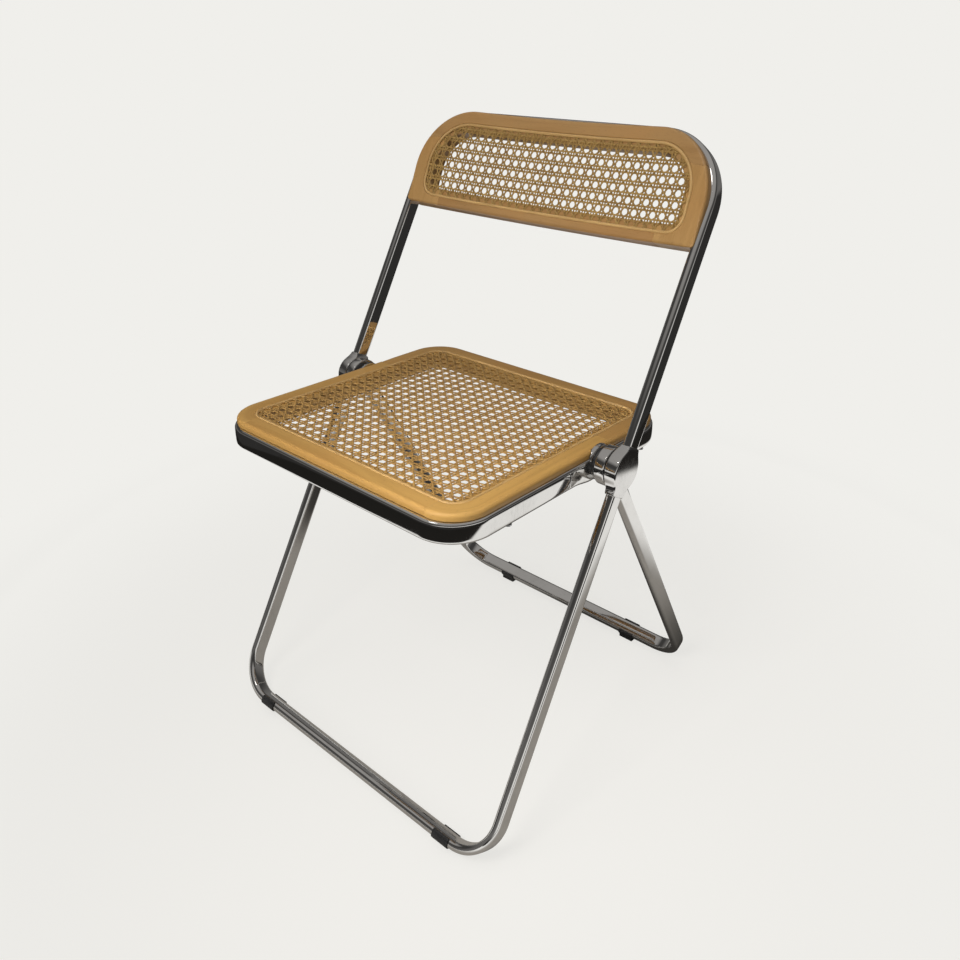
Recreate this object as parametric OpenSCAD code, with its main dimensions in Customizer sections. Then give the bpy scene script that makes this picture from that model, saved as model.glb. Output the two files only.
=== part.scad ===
// Folding chair: a chromed tube frame with cane panels in wooden rails.
// It stands open. X is across the chair, the front faces -Y, and Z is up from the floor.
// The seat front swings up between the uprights while the rear legs swing in to the front legs.

/* [Stance] */
// height of the hub axis above the floor
hub_h = 406; // [380:1:450]
// lean of the uprights and front legs, in degrees from vertical
front_lean = 31; // [26:0.5:34]
// lean of the rear legs, in degrees from vertical
rear_lean = 27; // [24:0.5:29]
// rise of the seat towards its front, in degrees
seat_rise = 2; // [0:0.5:4]
// height of a foot bar's centre above the floor
bar_h = 12.5; // [12:0.1:14]

/* [Frame tubes] */
// width of the frame tube across the chair
tube_w = 11; // [10:0.5:12]
// depth of the frame tube, square to the plane of its frame
tube_d = 21; // [18:0.5:23]
// corner radius of the frame tube
tube_r = 4.5; // [3:0.1:5]
// wall thickness of every tube
wall = 1.5; // [1.2:0.1:2]
// centre of the outer tubes from the middle of the chair
outer_x = 227.5; // [225:0.25:235]
// centre of the rear leg tubes from the middle of the chair
rear_x = 211; // [210:0.25:212]
// centre line of the top bar, measured up the upright from the hub axis
top_reach = 381; // [370:1:400]
// bend radius of the top corners, on the centre line
top_bend = 84; // [60:1:95]
// bend radius of the front foot corners, on the centre line
front_bend = 50; // [40:1:70]
// bend radius of the rear foot corners, on the centre line
rear_bend = 50; // [40:1:60]

/* [Hubs] */
// radius of the outer and middle castings
disc_r = 23; // [21:0.5:25]
// radius of the seat knuckle's disc
knuckle_r = 21; // [20:0.5:22]
// radius of the knuckle's core, which runs under the wooden lip
core_r = 15; // [15:0.1:16]
// radius of the pivot pin
pin_r = 5; // [4:0.5:6]
// running clearance round the pivot pin
run_gap = 0.05; // [0.02:0.01:0.1]
// radius of the stop pin
stop_r = 2; // [1.5:0.5:2.5]
// distance of the stop pin from the hub axis
stop_at = 12; // [11:0.5:13]
// turn of the rear legs from open to folded, in degrees
leg_turn = 58; // [50:1:60]
// turn of the seat from open to folded, in degrees
seat_turn = 119; // [110:1:120]

/* [Seat] */
// width of the seat rail tube
rail_w = 10; // [9:0.5:11]
// height of the seat rail tube
rail_h = 24; // [20:0.5:26]
// corner radius of the seat rail tube
rail_r = 4; // [3:0.5:4.5]
// centre of the side rail tubes from the middle of the chair
rail_x = 193; // [192:0.5:193.5]
// centre of the front rail tube ahead of the hub axis
rail_front = 225.8; // [210:0.1:235]
// centre of the rear rail tube behind the hub axis
rail_rear = 135.8; // [120:0.1:150]
// bend radius of the rail corners, on the centre line
rail_bend = 45; // [35:1:55]
// height of the rail tube's centre from the hub axis
rail_z = -2.8; // [-4:0.1:0]
// thickness of the wooden lip that rests on the rail tube
lip_t = 9; // [7:0.5:12]
// width of the wooden frame seen outside the cane groove
wood_w = 21; // [18:1:30]
// pitch of the gaps kept in the cane sheets
cane_pitch = 20; // [18:1:26]

/* [Backrest] */
// height of the panel, measured up the uprights
panel_tall = 130; // [124:0.5:136]
// upper edge of the panel above the top bar's centre line
panel_over = 1.5; // [0:0.5:3]
// half the width of the panel's front
panel_x = 227; // [215:0.5:230]
// front face ahead of the plane of the uprights, at the lower ends
panel_front = 12; // [11:0.5:14]
// thickness of the panel at its ends
panel_t = 23; // [18:0.5:25]
// lean of the panel's face against the uprights, in degrees
panel_lean = 6.7; // [4:0.1:8]
// glue joint between the stiles and the top rail, below the panel's upper edge
joint_drop = 39.5; // [30:0.5:60]
// glue joint between the stiles and the bottom rail, from the middle
stile_in = 172; // [150:1:185]
// hollow of the front face in the middle
front_bow = 12; // [6:0.5:14]
// bulge of the rear face in the middle
rear_bow = 6; // [3:0.5:10]

/* [Hidden] */
front_reach = (hub_h - bar_h) / cos(front_lean);
rear_reach = (hub_h - bar_h) / cos(rear_lean);
clip_t = 1.5;
flat_d = tube_d / 2 - tube_r;
flat_w = tube_w / 2 - tube_r;
front_end = front_reach * sin(front_lean) + cos(front_lean) * flat_d
    + sin(front_lean) * flat_w + tube_r + clip_t;
rear_end = rear_reach * sin(rear_lean) + cos(rear_lean) * flat_d
    + sin(rear_lean) * flat_w + tube_r + clip_t;
hub_y = (front_end - rear_end) / 2;

// seat screws, in from the centre lines of the front and rear rail tubes
screw_in_front = 75.8;
screw_in_rear = 47.8;
seat_screws_y = [screw_in_front - rail_front, rail_rear - screw_in_rear];

// the knuckle's arms ahead of and behind the hub axis, and their spigots inside the rail tubes
arm_front = 55;
arm_rear = 30;
spigot = 14;

// foot clips, from the middle of the chair, and their flat soles; the front ones sit at the bends
clip_l = 24;
front_foot_x = outer_x - front_bend - clip_l / 2 - 0.5;
rear_foot_x = 118;
sole_l = 22;
sole_w = 9;
sole_h = 7.2;
front_sole = cos(front_lean) * flat_d - sin(front_lean) * flat_w;
rear_sole = cos(rear_lean) * flat_d - sin(rear_lean) * flat_w;

// stations across one hub, from the middle of the chair outwards
x_knuckle = 186.5;
x_disc = 193;
x_spacer = 198.5;
x_middle = 204.5;
x_washer = 217.5;
x_outer = 218.5;
x_face = 234;
face_gap = 0.05;
knuckle_t = x_spacer - x_knuckle;
disc_in = x_disc - x_knuckle;
middle_t = x_washer - x_middle;
spacer_r = knuckle_r - 4;
neck_w = tube_w + 2;
socket = 16;
pin_bore = pin_r + run_gap;
stop_bore = stop_r + 0.12;
slot_end = asin(stop_bore / stop_at);

// the wooden seat frame, as distances out from its corner centres
corner_out = 44;
wood_x = rail_x + 2.6;
ring_x = wood_x - corner_out;
ring_front = -rail_front + corner_out;
ring_rear = rail_rear - corner_out;
lip_z = rail_z + rail_h / 2;
wood_top = lip_z + lip_t;
groove_out = corner_out - wood_w;
groove_in = groove_out - 4;
ledge_in = groove_in - 7;
ledge_z = wood_top - 2.3;
groove_z = wood_top - 3.4;
body_out = rail_x - rail_w / 2 - 0.5 - ring_x;
body_t = 14;
side_joint = 22;

// the backrest panel, seen square to the plane of the uprights
panel_top = top_reach + panel_over;
panel_low = panel_top - panel_tall;
stile_top = panel_top - joint_drop;
// half the width and depth of the blocks that part the panel's wood
cut_x = panel_x + 73;
cut_y = 80;
dowel_z = panel_low + panel_tall / 4;
dowel_in = 14;
screw_x = 110;
lip_bend = panel_x - (outer_x - top_bend);
body_x = outer_x - tube_w / 2 - 0.3;
body_top = top_reach - tube_w / 2 - 0.3;
body_bend = body_x - (outer_x - top_bend);
bow_front = (panel_x * panel_x + front_bow * front_bow) / (2 * front_bow);
bow_rear = (panel_x * panel_x + rear_bow * rear_bow) / (2 * rear_bow);
open_x = panel_x - 20.5;
open_low = panel_low + 10.5;
open_top = panel_top - 16.5;
open_r_top = 60;
open_r_low = 22;
// rows of gaps kept in the backrest's cane, and the distance from row to row
cane_rows = 5;
cane_foot = 13;
cane_rise = (open_top - open_low - 2 * cane_foot - 1) / (cane_rows - 1);

chrome = [0.78, 0.79, 0.80];
casting = [0.70, 0.71, 0.72];
beech = [0.83, 0.64, 0.33];
cane_tone = [0.86, 0.70, 0.40];
cord_tone = [0.80, 0.62, 0.33];
black = [0.07, 0.07, 0.07];
steel = [0.60, 0.61, 0.62];

// places of the three frames, each with its zero on the hub axis

module in_front() {
    translate([0, hub_y, hub_h]) rotate([-front_lean, 0, 0]) children();
}

module in_rear() {
    translate([0, hub_y, hub_h]) rotate([rear_lean, 0, 0]) children();
}

module in_seat() {
    translate([0, hub_y, hub_h]) rotate([-seat_rise, 0, 0]) children();
}

// the right hand piece as drawn, or its mirror image on the left
module sided(side) {
    if (side > 0) {
        children();
    } else {
        mirror([1, 0, 0]) children();
    }
}

// turns a shape drawn round Z so that it runs along X, starting at x
module along_x(x) {
    translate([x, 0, 0]) rotate([90, 0, 90]) children();
}

// shared profiles and runs

module rounded(w, d, r) {
    square([w - 2 * r, d], center = true);
    square([w, d - 2 * r], center = true);
    for (sx = [-1, 1], sy = [-1, 1]) {
        translate([sx * (w / 2 - r), sy * (d / 2 - r)]) circle(r = r, $fn = 32);
    }
}

// a U of constant section in the XZ plane: legs from z = -start down to a bar at z = -reach
module u_run(half, reach, bend, start, w, d, r) {
    for (side = [-1, 1]) {
        sided(side) {
            translate([half, 0, -(reach - bend)])
                linear_extrude(reach - bend - start) rounded(w, d, r);
            translate([half - bend, 0, -(reach - bend)])
                rotate([90, 0, 0])
                rotate([0, 0, -90])
                rotate_extrude(angle = 90, $fn = 96)
                translate([bend, 0]) rounded(w, d, r);
        }
    }
    translate([-(half - bend), 0, -reach])
        rotate([0, 90, 0])
        linear_extrude(2 * (half - bend)) rounded(w, d, r);
}

module u_tube(half, reach, bend, start, w, d, r) {
    difference() {
        u_run(half, reach, bend, start, w, d, r);
        u_run(half, reach, bend, start - 1, w - 2 * wall, d - 2 * wall, r - wall);
    }
}

// carries a profile round a rounded rectangle; its x is the distance out from the corner centres
module round_ring(half, front, rear) {
    for (side = [-1, 1]) {
        sided(side) {
            translate([half, rear, 0]) rotate([90, 0, 0]) linear_extrude(rear - front) children();
            translate([half, rear, 0]) rotate_extrude(angle = 90, $fn = 96) children();
            translate([half, front, 0])
                rotate([0, 0, -90])
                rotate_extrude(angle = 90, $fn = 96) children();
        }
    }
    translate([half, front, 0]) rotate([90, 0, -90]) linear_extrude(2 * half) children();
    translate([-half, rear, 0]) rotate([90, 0, 90]) linear_extrude(2 * half) children();
}

// hub pieces, drawn for the right side with the hub axis on X

// a round casting from x to x + t with its rim rounded by e
module casting_disc(x, t, radius, e) {
    along_x(x) rotate_extrude($fn = 96) {
        square([radius - e, t]);
        translate([0, e]) square([radius, t - 2 * e]);
        translate([radius - e, e]) circle(r = e, $fn = 32);
        translate([radius - e, t - e]) circle(r = e, $fn = 32);
    }
}

// the part of a casting that runs down from the disc and holds a tube's end
module casting_neck(centre, length) {
    translate([centre - neck_w / 2, 0, 0])
        rotate([90, 0, 90])
        linear_extrude(neck_w)
        polygon([
            [-disc_r * 0.93, -disc_r * 0.36], [disc_r * 0.93, -disc_r * 0.36],
            [tube_d / 2 + 2, -length * 0.72], [tube_d / 2 + 1, -length],
            [-tube_d / 2 - 1, -length], [-tube_d / 2 - 2, -length * 0.72]
        ]);
}

module tube_socket(centre, length) {
    translate([centre, 0, -length - 1])
        linear_extrude(length + 1 - socket) rounded(tube_w, tube_d, tube_r - 0.4);
}

// an arc slot that a stop pin runs in, from the pin's place at rest; its ends are flat
module stop_slot(x, length, turn) {
    along_x(x)
        rotate([0, 0, -slot_end])
        rotate_extrude(angle = turn + 2 * slot_end, $fn = 96)
        translate([stop_at - stop_bore, 0]) square([2 * stop_bore, length]);
}

module stop_hole(x, length, radius) {
    translate([0, stop_at, 0]) along_x(x) cylinder(r = radius, h = length, $fn = 32);
}

module pivot_hole(x, length) {
    along_x(x) cylinder(r = pin_bore, h = length, $fn = 64);
}

// pieces fixed to the back frame

module back_tube() {
    color(chrome)
    in_front()
    difference() {
        mirror([0, 0, 1])
            u_tube(outer_x, top_reach, top_bend, socket, tube_w, tube_d, tube_r);
        screw_holes(2.05);
        dowel_holes(2.05);
    }
}

module front_leg_tube() {
    color(chrome)
    in_front()
    u_tube(outer_x, front_reach, front_bend, socket, tube_w, tube_d, tube_r);
}

module hub_outer(side) {
    color(casting)
    translate([0, hub_y, hub_h])
    sided(side)
    difference() {
        union() {
            casting_disc(x_outer, x_face - x_outer, disc_r, 1.5);
            rotate([-front_lean, 0, 0]) casting_neck(outer_x, 30);
            rotate([-front_lean, 0, 0]) mirror([0, 0, 1]) casting_neck(outer_x, 26);
        }
        rotate([-front_lean, 0, 0]) tube_socket(outer_x, 30);
        rotate([-front_lean, 0, 0]) mirror([0, 0, 1]) tube_socket(outer_x, 26);
        pivot_hole(x_outer - 1, 10.5);
        stop_hole(x_outer - 1, 8.5, stop_r + 0.05);
    }
}

module pivot_pin(side) {
    color(steel)
    translate([0, hub_y, hub_h])
    sided(side) {
        along_x(x_knuckle - 2) cylinder(r = 7.5, h = 2, $fn = 64);
        along_x(x_knuckle - 1) cylinder(r = pin_r, h = x_outer + 9.5 - x_knuckle + 1, $fn = 64);
    }
}

module stop_pins() {
    color(steel)
    translate([0, hub_y, hub_h])
    for (side = [-1, 1]) {
        sided(side)
            translate([0, stop_at, 0])
            along_x(x_spacer - 5.5)
            cylinder(r = stop_r, h = x_outer + 7.5 - x_spacer + 5.5, $fn = 32);
    }
}

module hub_disc(x, t, radius) {
    difference() {
        along_x(x) cylinder(r = radius, h = t, $fn = 96);
        pivot_hole(x - 1, t + 2);
        stop_hole(x - 1, t + 2, stop_r + 0.05);
    }
}

module hub_washers() {
    color(black)
    translate([0, hub_y, hub_h])
    for (side = [-1, 1]) {
        sided(side) hub_disc(x_washer + face_gap, x_outer - x_washer - face_gap, disc_r - 3);
    }
}

module hub_spacers() {
    color(black)
    translate([0, hub_y, hub_h])
    for (side = [-1, 1]) {
        sided(side) hub_disc(x_spacer + face_gap, x_middle - x_spacer - 2 * face_gap, spacer_r);
    }
}

// a clip round a foot bar with a flat sole, drawn about the bar's centre; lean tips the bar
module foot_clip(lean, sole_y) {
    clip_w = tube_w + 2 * clip_t;
    clip_d = tube_d + 2 * clip_t;
    lip_top = tube_w / 2 - 0.5;
    difference() {
        union() {
            rotate([lean, 0, 0])
                intersection() {
                    clip_run(clip_l, clip_w, clip_d, tube_r + clip_t);
                    translate([-20, -30, lip_top - 40]) cube([40, 60, 40]);
                }
            translate([-sole_l / 2, sole_y - sole_w / 2, -bar_h]) cube([sole_l, sole_w, sole_h]);
        }
        rotate([lean, 0, 0]) clip_run(clip_l + 2, tube_w + 0.1, tube_d + 0.1, tube_r - 0.35);
    }
}

module clip_run(length, w, d, r) {
    translate([-length / 2, 0, 0])
        rotate([0, 90, 0])
        linear_extrude(length) rounded(w, d, r);
}

module front_foot(side) {
    color(black)
    translate([side * front_foot_x, hub_y - front_reach * sin(front_lean), bar_h])
    foot_clip(-front_lean, front_sole);
}

module rear_foot(side) {
    color(black)
    translate([side * rear_foot_x, hub_y + rear_reach * sin(rear_lean), bar_h])
    foot_clip(rear_lean, -rear_sole);
}

// the backrest panel; in its frame the front faces -Y and Z runs up the uprights

// an upright rectangle whose upper corners are rounded, from low to top
module arch(half, low, top, r, foot_r) {
    translate([-half, low + foot_r]) square([2 * half, top - low - r - foot_r]);
    translate([-(half - r), low + foot_r]) square([2 * (half - r), top - low - foot_r]);
    translate([-(half - foot_r), low]) square([2 * (half - foot_r), foot_r + 1]);
    for (side = [-1, 1]) {
        intersection() {
            translate([side * (half - r), top - r]) circle(r = r, $fn = 96);
            translate([side * (half - r / 2) - r / 2, top - r]) square(r);
        }
        translate([side * (half - foot_r), low + foot_r]) circle(r = foot_r, $fn = 48);
    }
}

// carries an outline drawn in X and Z from y0 back to y1
module through(y0, y1) {
    translate([0, y1, 0]) rotate([90, 0, 0]) linear_extrude(y1 - y0) children();
}

// a bowed slab that leans with the panel's face, from front_in to rear_in behind that face
module bowed_slab(front_in, rear_in, rear_radius, rear_mid) {
    translate([0, -panel_front, panel_low])
        rotate([panel_lean, 0, 0])
        translate([0, 0, -40])
        linear_extrude(240)
        difference() {
            translate([0, rear_mid + rear_in - rear_radius]) circle(r = rear_radius, $fn = 1440);
            translate([0, front_bow + front_in - bow_front]) circle(r = bow_front, $fn = 1440);
            translate([-9000, -9000]) square([18000, 8800]);
            translate([-9000, -9000]) square([8740, 18000]);
            translate([260, -9000]) square([8740, 18000]);
        }
}

// a thin layer of the panel that follows its front face
module face_layer(front_in, rear_in) {
    bowed_slab(front_in, rear_in, bow_front, front_bow);
}

module panel_opening(out) {
    arch(open_x + out, open_low - out, open_top + out, open_r_top + out, open_r_low + out);
}

module panel_wood() {
    difference() {
        intersection() {
            through(-60, 40) arch(panel_x, panel_low, panel_top, lip_bend, 4);
            bowed_slab(0, panel_t, bow_rear, rear_bow);
        }
        // room for the uprights and the top bar behind the lip
        difference() {
            translate([-cut_x, -tube_d / 2, panel_low - 10]) cube([2 * cut_x, cut_y, panel_tall + 30]);
            through(-60, 80) arch(body_x, panel_low - 20, body_top, body_bend, 1);
        }
        // the opening behind the cane, the seat for the cane and the groove for the spline
        through(-80, 60) panel_opening(-11);
        intersection() {
            through(-80, 60) panel_opening(-4);
            face_layer(-20, 2.3);
        }
        intersection() {
            through(-80, 60) difference() {
                panel_opening(0);
                panel_opening(-4);
            }
            face_layer(-20, 3.4);
        }
        screw_holes(2.05);
        dowel_holes(2.05);
    }
}

module screw_holes(radius) {
    for (side = [-1, 1]) {
        translate([side * screw_x, tube_d / 2 + 9.5, top_reach])
            rotate([90, 0, 0]) cylinder(r = radius, h = tube_d + 15, $fn = 32);
    }
}

module dowel_holes(radius) {
    for (side = [-1, 1]) {
        sided(side)
            along_x(outer_x - tube_w / 2 - dowel_in)
            translate([0, dowel_z, 0]) cylinder(r = radius, h = dowel_in + wall + 1, $fn = 32);
    }
}

module backrest_rail_top() {
    color(beech)
    in_front()
    intersection() {
        panel_wood();
        translate([-cut_x, -cut_y, stile_top]) cube([2 * cut_x, 2 * cut_y, panel_tall]);
    }
}

module backrest_rail_bottom() {
    color(beech)
    in_front()
    intersection() {
        panel_wood();
        translate([-stile_in, -cut_y, panel_low - 10]) cube([2 * stile_in, 2 * cut_y, panel_tall / 2]);
    }
}

module backrest_stile(side) {
    color(beech)
    in_front()
    sided(side)
    intersection() {
        panel_wood();
        translate([stile_in, -cut_y, panel_low - 10])
            cube([cut_x - stile_in, 2 * cut_y, stile_top - panel_low + 10]);
    }
}

module backrest_cane() {
    color(cane_tone)
    in_front()
    intersection() {
        through(-60, 40) difference() {
            panel_opening(-4.05);
            for (i = [-9 : 9], j = [0 : cane_rows - 1]) {
                translate([i * cane_pitch, open_low + cane_foot + j * cane_rise])
                    circle(r = 6, $fn = 6);
            }
        }
        face_layer(1.3, 2.3);
    }
}

module backrest_spline() {
    color(cord_tone)
    in_front()
    intersection() {
        through(-60, 40) difference() {
            panel_opening(-0.15);
            panel_opening(-3.85);
        }
        face_layer(-0.6, 3.4);
    }
}

module backrest_screws() {
    color(steel)
    in_front()
    for (side = [-1, 1]) {
        translate([side * screw_x, 0, top_reach]) {
            translate([0, tube_d / 2 + 1.6, 0])
                rotate([90, 0, 0]) cylinder(r = 4, h = 1.6, $fn = 48);
            translate([0, tube_d / 2 + 1, 0])
                rotate([90, 0, 0]) cylinder(r = 2, h = tube_d + 6, $fn = 32);
        }
    }
}

module backrest_dowels() {
    color(steel)
    in_front()
    for (side = [-1, 1]) {
        sided(side)
            along_x(outer_x - tube_w / 2 - dowel_in)
            translate([0, dowel_z, 0]) cylinder(r = 2, h = dowel_in + wall + 0.5, $fn = 32);
    }
}

// pieces of the rear legs

module rear_leg_tube() {
    color(chrome)
    in_rear()
    u_tube(rear_x, rear_reach, rear_bend, socket + 2, tube_w, tube_d, tube_r);
}

module hub_middle(side) {
    color(casting)
    translate([0, hub_y, hub_h])
    sided(side)
    difference() {
        union() {
            casting_disc(x_middle, x_washer - x_middle, disc_r, 1.2);
            rotate([rear_lean, 0, 0]) casting_neck(rear_x, 32);
        }
        rotate([rear_lean, 0, 0]) translate([0, 0, -2]) tube_socket(rear_x, 30);
        pivot_hole(x_middle - 1, middle_t + 2);
        stop_slot(x_middle - 1, middle_t + 2, leg_turn);
    }
}

// pieces of the seat

module seat_ring(reach, start) {
    translate([0, 0, rail_z])
        rotate([-90, 0, 0])
        u_tube(rail_x, reach, rail_bend, start, rail_w, rail_h, rail_r);
}

module seat_tube_front() {
    color(chrome)
    in_seat()
    difference() {
        seat_ring(rail_front, arm_front);
        seat_screw_holes(2.05);
    }
}

module seat_tube_rear() {
    color(chrome)
    in_seat()
    difference() {
        mirror([0, 1, 0]) seat_ring(rail_rear, arm_rear);
        seat_screw_holes(2.05);
    }
}

module seat_knuckle(side) {
    color(casting)
    in_seat()
    sided(side)
    difference() {
        union() {
            along_x(x_knuckle) rotate_extrude($fn = 96) polygon([
                [0, 0], [core_r - 0.5, 0], [core_r, 0.5], [core_r, disc_in],
                [knuckle_r - 0.5, disc_in], [knuckle_r, disc_in + 0.5], [knuckle_r, knuckle_t - 3.5],
                [knuckle_r - 3.5, knuckle_t], [0, knuckle_t]
            ]);
            // arms level with the rail tubes, with spigots inside them
            translate([rail_x, arm_rear, rail_z])
                rotate([90, 0, 0]) linear_extrude(arm_front + arm_rear) rounded(rail_w, rail_h, rail_r);
            translate([rail_x, arm_rear + spigot, rail_z])
                rotate([90, 0, 0]) linear_extrude(arm_front + arm_rear + 2 * spigot)
                rounded(rail_w - 2 * wall - 0.2, rail_h - 2 * wall - 0.2, rail_r - wall);
            // webs that deepen the arms towards the disc
            translate([rail_x - 3.5, 0, 0])
                rotate([90, 0, 90]) linear_extrude(7)
                polygon([
                    [9 - arm_front, rail_z - rail_h / 2 + 1], [arm_rear - 4, rail_z - rail_h / 2 + 1],
                    [(knuckle_r - 1) / 2, 2 - knuckle_r], [-(knuckle_r + 3) / 2, 2 - knuckle_r]
                ]);
        }
        pivot_hole(x_knuckle - 1, knuckle_t + 2);
        rotate([seat_rise, 0, 0]) stop_slot(x_spacer - 6, 7, seat_turn);
    }
}

module seat_screw_holes(radius) {
    for (side = [-1, 1], y = seat_screws_y) {
        translate([side * rail_x, y, lip_z - rail_h - 2])
            cylinder(r = radius, h = rail_h + 2 + 5.5, $fn = 32);
    }
}

module seat_screws() {
    color(steel)
    in_seat()
    for (side = [-1, 1], y = seat_screws_y) {
        translate([side * rail_x, y, lip_z - rail_h - 1.6]) cylinder(r = 4, h = 1.6, $fn = 48);
        translate([side * rail_x, y, lip_z - rail_h - 1]) cylinder(r = 2, h = rail_h + 1 + 5, $fn = 32);
    }
}

// the wooden seat frame in section: lip, body, groove for the spline and ledge for the cane
module seat_wood() {
    difference() {
        round_ring(ring_x, ring_front, ring_rear) {
            polygon([
                [ledge_in, lip_z - body_t], [body_out, lip_z - body_t], [body_out, lip_z],
                [corner_out, lip_z], [corner_out, wood_top - 4.5],
                [corner_out - 4.5, wood_top - 4.5], [corner_out - 4.5, wood_top],
                [groove_out, wood_top], [groove_out, groove_z], [groove_in, groove_z],
                [groove_in, ledge_z], [ledge_in, ledge_z]
            ]);
            translate([corner_out - 4.5, wood_top - 4.5]) circle(r = 4.5, $fn = 48);
        }
        // notches for the knuckles' discs, their cores and the pin heads
        for (side = [-1, 1]) {
            sided(side) {
                along_x(x_disc - 0.6) cylinder(r = knuckle_r + 0.6, h = 20, $fn = 96);
                along_x(x_knuckle - 0.8) cylinder(r = core_r + 0.6, h = 20, $fn = 96);
                along_x(x_knuckle - 4) cylinder(r = 9, h = 10, $fn = 64);
            }
        }
        seat_screw_holes(2.05);
    }
}

module seat_rail_front() {
    color(beech)
    in_seat()
    intersection() {
        seat_wood();
        translate([-ring_x, ring_front - 60, -30]) cube([2 * ring_x, 120, 80]);
    }
}

module seat_rail_rear() {
    color(beech)
    in_seat()
    intersection() {
        seat_wood();
        translate([-300, side_joint, -30]) cube([600, 200, 80]);
    }
}

module seat_rail_side(side) {
    color(beech)
    in_seat()
    sided(side)
    intersection() {
        seat_wood();
        translate([ring_x, -300, -30]) cube([100, 300 + side_joint, 80]);
    }
}

module seat_cane() {
    color(cane_tone)
    in_seat()
    translate([0, 0, ledge_z])
    linear_extrude(1)
    difference() {
        union() {
            reach = groove_in - 0.05;
            translate([-ring_x, ring_front - reach])
                square([2 * ring_x, ring_rear - ring_front + 2 * reach]);
            translate([-ring_x - reach, ring_front])
                square([2 * (ring_x + reach), ring_rear - ring_front]);
            for (x = [-ring_x, ring_x], y = [ring_front, ring_rear]) {
                translate([x, y]) circle(r = reach, $fn = 64);
            }
        }
        for (i = [-7 : 7], j = [0 : 13]) {
            translate([i * cane_pitch, ring_front + 1 + j * cane_pitch])
                circle(r = 6, $fn = 6);
        }
    }
}

module seat_spline() {
    color(cord_tone)
    in_seat()
    round_ring(ring_x, ring_front, ring_rear) {
        translate([groove_in + 0.05, groove_z]) square([3.9, 2]);
        translate([groove_in + 2, groove_z + 2]) circle(r = 1.95, $fn = 32);
    }
}

back_tube();
front_leg_tube();
hub_outer(-1);  // hub_outer_left
hub_outer(1);  // hub_outer_right
pivot_pin(-1);  // pivot_pin_left
pivot_pin(1);  // pivot_pin_right
stop_pins();
hub_washers();
hub_spacers();
front_foot(-1);  // front_foot_left
front_foot(1);  // front_foot_right
backrest_rail_top();
backrest_rail_bottom();
backrest_stile(-1);  // backrest_stile_left
backrest_stile(1);  // backrest_stile_right
backrest_cane();
backrest_spline();
backrest_screws();
backrest_dowels();
rear_leg_tube();
hub_middle(-1);  // hub_middle_left
hub_middle(1);  // hub_middle_right
rear_foot(-1);  // rear_foot_left
rear_foot(1);  // rear_foot_right
seat_tube_front();
seat_tube_rear();
seat_knuckle(-1);  // seat_knuckle_left
seat_knuckle(1);  // seat_knuckle_right
seat_rail_front();
seat_rail_rear();
seat_rail_side(-1);  // seat_rail_left
seat_rail_side(1);  // seat_rail_right
seat_cane();
seat_spline();
seat_screws();
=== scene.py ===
import bpy
import math
import numpy as np
from mathutils import Matrix, Vector
from types import SimpleNamespace


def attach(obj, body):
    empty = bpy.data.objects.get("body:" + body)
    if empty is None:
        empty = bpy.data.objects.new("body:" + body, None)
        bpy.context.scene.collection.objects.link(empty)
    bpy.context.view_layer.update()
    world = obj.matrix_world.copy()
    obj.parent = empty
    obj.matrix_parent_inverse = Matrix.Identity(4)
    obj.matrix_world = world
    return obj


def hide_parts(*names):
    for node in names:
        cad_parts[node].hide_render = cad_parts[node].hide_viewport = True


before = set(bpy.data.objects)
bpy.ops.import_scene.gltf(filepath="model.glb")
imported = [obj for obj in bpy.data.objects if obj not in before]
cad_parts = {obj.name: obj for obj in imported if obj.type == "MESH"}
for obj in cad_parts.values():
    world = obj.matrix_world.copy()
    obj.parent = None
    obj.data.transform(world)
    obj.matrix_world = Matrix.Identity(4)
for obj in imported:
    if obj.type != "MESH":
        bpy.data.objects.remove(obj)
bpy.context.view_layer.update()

# the chair's frames, in millimetres and degrees
hubPlace = (0.0, 17.89920, 406.0)      # where the axis of both hubs runs
leans = {"front": -31.0, "rear": 27.0, "seat": -2.0, "hub": 0.0}
bodies = {"front": "back_frame", "rear": "rear_frame", "seat": "seat_frame"}
sides = ((1, "right"), (-1, "left"))


# points turned about X by degrees
def turned(points, degrees):
    turn = math.radians(degrees)
    x, y, z = points[..., 0], points[..., 1], points[..., 2]
    return np.stack([x, y * math.cos(turn) - z * math.sin(turn), y * math.sin(turn) + z * math.cos(turn)], -1)


# local millimetres to metres in the shared frame: a turn about X by the frame's lean, then a move to the hub
def placed(points, part):
    return (turned(points, leans[part]) + hubPlace) / 1000


# numbers from 0 to 1 that leave and arrive level
def eased(values, low, high):
    t = np.clip((values - low) / (high - low), 0, 1)
    return t * t * (3 - 2 * t)


# the larger of two values, with the change between them spread over a width
def softMax(a, b, width):
    near = np.maximum(width - np.abs(a - b), 0) / width
    return np.maximum(a, b) + near * near * width / 4


def softMin(a, b, width):
    return -softMax(-a, -b, width)


# the length run along a line of points, from 0
def runAlong(points):
    return np.concatenate([[0], np.cumsum(np.linalg.norm(points[1:] - points[:-1], axis=1))])


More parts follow.
